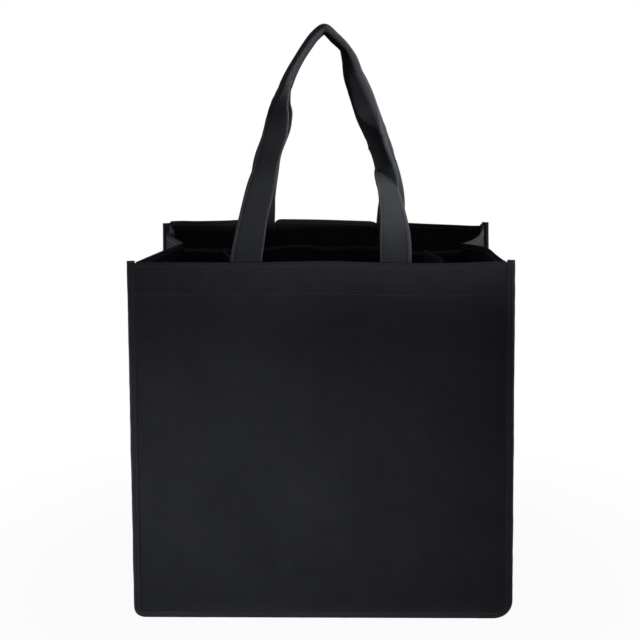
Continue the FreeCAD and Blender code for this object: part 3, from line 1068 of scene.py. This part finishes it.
class Finish:
    """A material under construction: adds nodes and joins them to its shader."""

    def __init__(self, name):
        self.material = bpy.data.materials.new(name)
        self.material.use_nodes = True
        self.tree = self.material.node_tree
        self.shader = self.tree.nodes["Principled BSDF"]

    def node(self, kind, **values):
        """A new node, with its properties and its inputs set by name."""
        made = self.tree.nodes.new(kind)
        for name, value in values.items():
            if hasattr(made, name):
                setattr(made, name, value)
            else:
                made.inputs[name.replace("_", " ").title()].default_value = value
        return made

    def join(self, output, socket):
        self.tree.links.new(output, socket)

    def cloth_places(self, turn=0.0):
        """The flat places of the cloth in metres, turned by an angle."""
        places = self.node("ShaderNodeUVMap", uv_map="Cloth")
        mapping = self.node("ShaderNodeMapping")
        mapping.inputs["Rotation"].default_value = (0.0, 0.0, turn)
        self.join(places.outputs["UV"], mapping.inputs["Vector"])
        return mapping.outputs["Vector"]

    def object_places(self):
        return self.node("ShaderNodeTexCoord").outputs["Object"]

    def noise(self, places, size, detail=3.0, roughness=0.55):
        """Even noise whose marks are about that size in metres."""
        made = self.node("ShaderNodeTexNoise", detail=detail, roughness=roughness, scale=1 / size)
        self.join(places, made.inputs["Vector"])
        return made.outputs["Fac"]

    def between(self, value, low, high, from_low=0.0, from_high=1.0):
        """The value moved from one range to another."""
        made = self.node("ShaderNodeMapRange")
        made.inputs["From Min"].default_value = from_low
        made.inputs["From Max"].default_value = from_high
        made.inputs["To Min"].default_value = low
        made.inputs["To Max"].default_value = high
        self.join(value, made.inputs["Value"])
        return made.outputs["Result"]

    def sum(self, *parts):
        """Values added together, each with its weight."""
        total = None
        for value, weight in parts:
            made = self.node("ShaderNodeMath", operation="MULTIPLY_ADD")
            made.inputs[1].default_value = weight
            made.inputs[2].default_value = 0.0
            self.join(value, made.inputs[0])
            if total is not None:
                self.join(total, made.inputs[2])
            total = made.outputs["Value"]
        return total

    def tint(self, base, value):
        """The base colour made lighter and darker by a value around 1."""
        made = self.node("ShaderNodeVectorMath", operation="SCALE")
        made.inputs[0].default_value = base
        self.join(value, made.inputs["Scale"])
        self.join(made.outputs["Vector"], self.shader.inputs["Base Color"])

    def relief(self, height, strength, depth):
        """Bump from a height, that deep in metres."""
        made = self.node("ShaderNodeBump")
        made.inputs["Strength"].default_value = strength
        made.inputs["Distance"].default_value = depth
        self.join(height, made.inputs["Height"])
        self.join(made.outputs["Normal"], self.shader.inputs["Normal"])

    def with_painted_edge_highlight(self, value, width):
        """The value with a painted highlight along the edges of a strap of that width, where they catch the
        light, and darker at its stitching.
        """
        places = self.node("ShaderNodeUVMap", uv_map="Cloth")
        parts = self.node("ShaderNodeSeparateXYZ")
        self.join(places.outputs["UV"], parts.inputs["Vector"])
        inset = self.node("ShaderNodeMath", operation="PINGPONG")
        inset.inputs[1].default_value = width / 2
        self.join(parts.outputs["X"], inset.inputs[0])
        # Painted highlight: the strap's outer edges are drawn lighter, as if they catch the light
        painted_edge_highlight = self.between(inset.outputs["Value"], 1.55, 0.72, 1.2 * MM, 1.9 * MM)
        field = self.between(inset.outputs["Value"], 0.0, 0.28, 2.4 * MM, 3.2 * MM)
        level = self.node("ShaderNodeMath", operation="MULTIPLY")
        self.join(value, level.inputs[0])
        self.join(self.sum((painted_edge_highlight, 1.0), (field, 1.0)), level.inputs[1])
        return level.outputs["Value"]

    def steady(self, **values):
        """Shader inputs that are the same all over the surface."""
        for name, value in values.items():
            self.shader.inputs[name.replace("_", " ")].default_value = value


def bonded_cloth(name, base, dot_pitch, dot_turn, sheen, strap=0.0):
    """Spun-bonded cloth: a fine grid of pressed dots, loose fibres, and clouds where the web is thicker."""
    made = Finish(name)
    flat = made.cloth_places()
    turned = made.cloth_places(dot_turn)
    dots = made.node("ShaderNodeTexVoronoi", voronoi_dimensions="2D", scale=1 / dot_pitch, randomness=0.0)
    made.join(turned, dots.inputs["Vector"])
    pressed = made.between(dots.outputs["Distance"], 0.0, 1.0, 0.12, 0.42)
    fibres = made.noise(flat, 0.55 * MM, 4.0, 0.7)
    clouds = made.noise(flat, 16 * MM, 4.0, 0.6)
    drifts = made.noise(flat, 75 * MM, 2.0, 0.5)
    shade = made.sum((clouds, 0.18), (drifts, 0.24), (fibres, 0.62), (pressed, 0.18))
    level = made.between(shade, 0.45, 1.55, 0.34, 0.88)
    # On a strap, a painted highlight along both edges and a darker line at the stitching
    made.tint(base, made.with_painted_edge_highlight(level, strap) if strap else level)
    gloss = made.sum((clouds, 0.5), (fibres, 0.5))
    made.join(made.between(gloss, 0.62, 0.84, 0.3, 0.7), made.shader.inputs["Roughness"])
    made.relief(made.sum((pressed, 0.6), (fibres, 0.7), (clouds, 0.25)), 0.8, 0.22 * MM)
    made.steady(Sheen_Weight=sheen, Sheen_Roughness=0.5, Specular_IOR_Level=0.0)
    return made.material


def kept(name, make):
    """The material of that name, made the first time it is asked for."""
    return bpy.data.materials.get(name) or make()


def cloth_material():
    return kept("Bonded cloth", lambda: bonded_cloth("Bonded cloth", colours().cloth, CLOTH_DOTS, 0.0, 0.03))


def tape_material():
    return kept("Binding tape", lambda: bonded_cloth("Binding tape", colours().tape, TAPE_DOTS, 0.0, 0.04))


def strap_material():
    name = "Folded strap"
    width = sizes().strap + EDGE_THICKNESS * sizes().strap_thickness
    base = colours().strap
    return kept(name, lambda: bonded_cloth(name, base, CLOTH_DOTS, STRAP_DOTS_TURN, 0.04, width))


def make_thread():
    """Twisted sewing thread."""
    made = Finish("Sewing thread")
    places = made.object_places()
    twist = made.noise(places, 0.35 * MM, 2.0)
    lots = made.noise(places, 12 * MM, 1.0)
    made.tint(colours().thread, made.between(made.sum((twist, 0.6), (lots, 0.4)), 0.7, 1.5, 0.3, 0.7))
    made.join(made.between(twist, 0.42, 0.62), made.shader.inputs["Roughness"])
    made.relief(twist, 0.4, 0.08 * MM)
    made.steady(Sheen_Weight=0.05, Specular_IOR_Level=0.4)
    return made.material


def thread_material():
    return kept("Sewing thread", make_thread)


def make_board_finish():
    """Matte plastic board with fine flutes and scuffs."""
    made = Finish("Fluted board")
    places = made.object_places()
    fluting = math.tau / (20 * FLUTE_PITCH)
    flutes = made.node("ShaderNodeTexWave", wave_type="BANDS", bands_direction="Y", scale=fluting)
    made.join(places, flutes.inputs["Vector"])
    scuffs = made.noise(places, 9 * MM, 5.0, 0.7)
    grain = made.noise(places, 0.6 * MM, 2.0)
    made.tint(colours().board, made.between(made.sum((scuffs, 0.7), (grain, 0.3)), 0.75, 1.35, 0.3, 0.7))
    made.join(made.between(scuffs, 0.42, 0.66, 0.3, 0.7), made.shader.inputs["Roughness"])
    made.relief(made.sum((flutes.outputs["Fac"], 0.8), (grain, 0.2)), 0.3, 0.15 * MM)
    made.steady(Specular_IOR_Level=0.4)
    return made.material


def board_material():
    return kept("Fluted board", make_board_finish)


# Operators, one for each piece or group of like pieces


def dress(item, material, slot, *nodes):
    """Gives a piece its finish, and hides the CAD nodes it stands for."""
    item.data.materials.clear()
    item.data.materials.append(material)
    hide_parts(*nodes)


def cloth_piece(name, grids, node):
    """A sheet of the bag's cloth that stands for a CAD node."""
    piece = sheet_mesh(name, grids, sizes().cloth)
    dress(piece, cloth_material(), "cloth", node)
    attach(piece, "bag")


class CARRIER_OT_panels(bpy.types.Operator):
    """Make the front and back panels with their hems"""

    bl_idname = "carrier.panels"
    bl_label = "Panels"

    def execute(self, context):
        for side, name in SIDE_NAMES.items():
            grids = panel_grids(side)
            cloth_piece(f"{name}_panel_cloth", grids, f"{name}_panel")
            stitches(f"{name}_hem_stitches", panel_stitch_lines(side), "bag")
        return {"FINISHED"}


class CARRIER_OT_gussets(bpy.types.Operator):
    """Make the left and right gussets, tucked in towards the rim"""

    bl_idname = "carrier.gussets"
    bl_label = "Gussets"

    def execute(self, context):
        for hand, name in HAND_NAMES.items():
            grids = gusset_grids(hand)
            cloth_piece(f"{name}_gusset_cloth", grids, f"{name}_gusset")
            stitches(f"{name}_gusset_stitches", gusset_stitch_lines(hand), "bag")
        return {"FINISHED"}


class CARRIER_OT_base(bpy.types.Operator):
    """Make the base cloth and the loose board on it"""

    bl_idname = "carrier.base"
    bl_label = "Base"

    def execute(self, context):
        cloth_piece("base_cloth", [base_grid()], "base_panel")
        board = board_mesh("base_board_sheet")
        dress(board, board_material(), "board", "base_board")
        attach(board, "bag")
        return {"FINISHED"}


class CARRIER_OT_dividers(bpy.types.Operator):
    """Make the centre divider and the four cross partitions"""

    bl_idname = "carrier.dividers"
    bl_label = "Dividers"

    def execute(self, context):
        height = DIVIDER_TOP - DIVIDER_FOOT
        flat = (2 * divider_end(RIGHT, DIVIDER_FOOT), height)
        cloth_piece("centre_divider_cloth", [divider_grid()], "centre_divider")
        for side, depth in SIDE_NAMES.items():
            for hand, across in HAND_NAMES.items():
                name = f"{depth}_{across}_partition"
                leans = [lean * MM for _, lean in PARTITION_LEAN[side, hand]]
                flat = (math.hypot(LIP_Y, max(leans) - min(leans)), math.hypot(height, max(leans)))
                cloth_piece(f"{name}_cloth", [partition_grid(side, hand)], name)
        return {"FINISHED"}


class CARRIER_OT_bindings(bpy.types.Operator):
    """Make the tapes that bind the panels' seams"""

    bl_idname = "carrier.bindings"
    bl_label = "Bindings"

    def execute(self, context):
        for side, name in SIDE_NAMES.items():
            tape = loft_mesh(f"{name}_binding_tape", binding_rings(side))
            dress(tape, tape_material(), "tape", f"{name}_binding")
            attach(tape, "bag")
            stitches(f"{name}_binding_stitches", binding_stitch_lines(side), "bag")
        return {"FINISHED"}


class CARRIER_OT_handles(bpy.types.Operator):
    """Make the two strap handles with their sewn ends"""

    bl_idname = "carrier.handles"
    bl_label = "Handles"

    def execute(self, context):
        for side, name in SIDE_NAMES.items():
            sections = strap_sections(side)
            strap = loft_mesh(f"{name}_strap", strap_rings(sections))
            dress(strap, strap_material(), "strap", f"{name}_handle", f"{name}_handle_tails")
            seams = stitches(f"{name}_strap_stitches", strap_stitch_lines(sections))
            roots = [hand * STRAP_LEGS[hand][0].across * MM for hand in (LEFT, RIGHT)]
            rim = max(rim_height(side, x) for x in roots)
            for item in (strap, seams):
                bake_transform(item)
        return {"FINISHED"}


# Stage: floor, light and camera

CAMERA_PLACE = Vector((29.1 * MM, -1289.7 * MM, 542.8 * MM))
CAMERA_LENS = 79.91
CAMERA_SENSOR = 36.0
CAMERA_DOWN = math.radians(12.742)
CAMERA_TURN = math.radians(-1.437)
CAMERA_ROLL = math.radians(-0.394)

# Place, target and size in metres, power in watts, spread in degrees
Lamp = namedtuple("Lamp", "name place target width height power spread")
LAMPS = (
    Lamp("top_light", (0.0, 0.03, 1.2), (0.0, 0.03, 0.3), 0.5, 0.25, 0.9, 150),
    Lamp("panel_light", (-0.8, -1.2, 0.1), (-0.085, -0.1, 0.125), 0.3, 0.12, 0.19, 24),
    Lamp("foot_light", (0.0, -1.3, 0.35), (0.0, -0.11, -0.015), 0.4, 0.02, 0.025, 2.5),
    Lamp("strap_light", (0.93, -0.98, 0.33), (0.03, -0.05, 0.455), 0.3, 0.06, 0.34, 16),
    Lamp("left_light", (-1.4, 0.0, 0.16), (-0.16, 0.0, 0.2), 0.4, 0.2, 0.4, 20),
    Lamp("right_light", (1.4, 0.0, 0.2), (0.16, 0.0, 0.22), 0.4, 0.3, 0.75, 26),
    Lamp("back_light", (0.5, 1.4, 0.12), (0.0, 0.1, 0.15), 0.4, 0.2, 0.35, 28),
)
AMBIENT = 0.07

# The floor goes over into white between these distances from the middle, in metres
FLOOR_FADE = {"From Min": 0.2, "From Max": 0.5, "To Min": 0.95, "To Max": 1.0}


def shown_ray(tree):
    """A value that is 1 for rays that show the background: from the camera, and from gloss and glass."""
    path = tree.nodes.new("ShaderNodeLightPath")
    total = path.outputs["Is Camera Ray"]
    for name in ("Is Glossy Ray", "Is Transmission Ray"):
        larger = tree.nodes.new("ShaderNodeMath")
        larger.operation = "MAXIMUM"
        tree.links.new(total, larger.inputs[0])
        tree.links.new(path.outputs[name], larger.inputs[1])
        total = larger.outputs["Value"]
    return total


def floor_material():
    """Pale floor that keeps the object's shadow and goes over into the white background."""
    material = bpy.data.materials.new("Pale floor")
    material.use_nodes = True
    tree = material.node_tree
    shader = tree.nodes["Principled BSDF"]
    shader.inputs["Base Color"].default_value = (*colours().floor, 1.0)
    shader.inputs["Roughness"].default_value = 0.9
    shader.inputs["Specular IOR Level"].default_value = 0.0
    white = tree.nodes.new("ShaderNodeEmission")
    mix = tree.nodes.new("ShaderNodeMixShader")
    place = tree.nodes.new("ShaderNodeTexCoord")
    away = tree.nodes.new("ShaderNodeVectorMath")
    away.operation = "LENGTH"
    fade = tree.nodes.new("ShaderNodeMapRange")
    fade.interpolation_type = "SMOOTHSTEP"
    for name, value in FLOOR_FADE.items():
        fade.inputs[name].default_value = value
    lift = tree.nodes.new("ShaderNodeMath")
    lift.operation = "MULTIPLY"
    tree.links.new(shown_ray(tree), lift.inputs[0])
    link_all(tree, (
        (place, "Object", away, 0),
        (away, "Value", fade, "Value"),
        (fade, "Result", lift, 1),
        (lift, "Value", mix, 0),
        (shader, "BSDF", mix, 1),
        (white, "Emission", mix, 2),
        (mix, "Shader", tree.nodes["Material Output"], "Surface"),
    ))
    return material


def make_world(context):
    """White behind the object, and an even soft light from all round it."""
    world = bpy.data.worlds.new("Studio")
    context.scene.world = world
    world.use_nodes = True
    tree = world.node_tree
    around = tree.nodes["Background"]
    around.inputs["Color"].default_value = (1.0, 1.0, 1.0, 1.0)
    around.inputs["Strength"].default_value = AMBIENT
    white = tree.nodes.new("ShaderNodeBackground")
    white.inputs["Color"].default_value = (1.0, 1.0, 1.0, 1.0)
    mix = tree.nodes.new("ShaderNodeMixShader")
    tree.links.new(shown_ray(tree), mix.inputs[0])
    link_all(tree, (
        (around, "Background", mix, 1),
        (white, "Background", mix, 2),
        (mix, "Shader", tree.nodes["World Output"], "Surface"),
    ))


def make_lamp(lamp):
    data = bpy.data.lights.new(lamp.name, "AREA")
    data.shape = "RECTANGLE"
    data.size = lamp.width
    data.size_y = lamp.height
    data.energy = lamp.power
    data.spread = math.radians(lamp.spread)
    item = new_object(lamp.name, data)
    place = Vector(lamp.place)
    item.location = place
    item.rotation_euler = (Vector(lamp.target) - place).to_track_quat("-Z", "Y").to_euler()


def make_camera(context):
    ahead = Vector((
        math.sin(CAMERA_TURN) * math.cos(CAMERA_DOWN),
        math.cos(CAMERA_TURN) * math.cos(CAMERA_DOWN),
        -math.sin(CAMERA_DOWN),
    ))
    level = Vector((math.cos(CAMERA_TURN), -math.sin(CAMERA_TURN), 0.0))
    upright = level.cross(ahead)
    right = level * math.cos(CAMERA_ROLL) + upright * math.sin(CAMERA_ROLL)
    up = upright * math.cos(CAMERA_ROLL) - level * math.sin(CAMERA_ROLL)
    data = bpy.data.cameras.new("Camera")
    data.sensor_width = CAMERA_SENSOR
    data.lens = CAMERA_LENS
    camera = new_object("Camera", data)
    turned = Matrix((right, up, -ahead)).transposed()
    camera.location = CAMERA_PLACE
    camera.rotation_euler = turned.to_euler()
    context.scene.camera = camera


class CARRIER_OT_stage(bpy.types.Operator):
    """Make the floor, the light and the camera"""

    bl_idname = "carrier.stage"
    bl_label = "Stage"

    def execute(self, context):
        reach = 12.0
        mesh = bpy.data.meshes.new("floor")
        corners = [(-reach, -reach, 0.0), (reach, -reach, 0.0), (reach, reach, 0.0), (-reach, reach, 0.0)]
        mesh.from_pydata(corners, [], [(0, 1, 2, 3)])
        floor = new_object("floor", mesh)
        floor.data.materials.append(floor_material())
        make_world(context)
        for lamp in LAMPS:
            make_lamp(lamp)
        make_camera(context)
        context.scene.view_settings.view_transform = "Standard"
        return {"FINISHED"}


class CARRIER_PT_sidebar(bpy.types.Panel):
    """Sidebar panel that lists the carrier's pieces and sizes"""

    bl_label = "Bottle Carrier"
    bl_idname = "CARRIER_PT_sidebar"
    bl_space_type = "VIEW_3D"
    bl_region_type = "UI"
    bl_category = "Carrier"

    def draw(self, context):
        column = self.layout.column()
        for operator in OPERATORS:
            column.operator(operator.bl_idname)
        for group in (context.scene.carrier_sizes, context.scene.carrier_colours):
            for name in group.__annotations__:
                column.prop(group, name)


OPERATORS = (
    CARRIER_OT_stage,
    CARRIER_OT_panels,
    CARRIER_OT_gussets,
    CARRIER_OT_base,
    CARRIER_OT_dividers,
    CARRIER_OT_bindings,
    CARRIER_OT_handles,
)
CLASSES = (CarrierSizes, CarrierColours, *OPERATORS, CARRIER_PT_sidebar)


def register():
    for item in CLASSES:
        bpy.utils.register_class(item)
    bpy.types.Scene.carrier_sizes = PointerProperty(type=CarrierSizes)
    bpy.types.Scene.carrier_colours = PointerProperty(type=CarrierColours)


def unregister():
    del bpy.types.Scene.carrier_colours
    del bpy.types.Scene.carrier_sizes
    for item in reversed(CLASSES):
        bpy.utils.unregister_class(item)


def main():
    register()
    bpy.ops.carrier.stage()
    bpy.ops.carrier.panels()
    bpy.ops.carrier.gussets()
    bpy.ops.carrier.base()
    bpy.ops.carrier.dividers()
    bpy.ops.carrier.bindings()
    bpy.ops.carrier.handles()


if __name__ == "__main__":
    main()
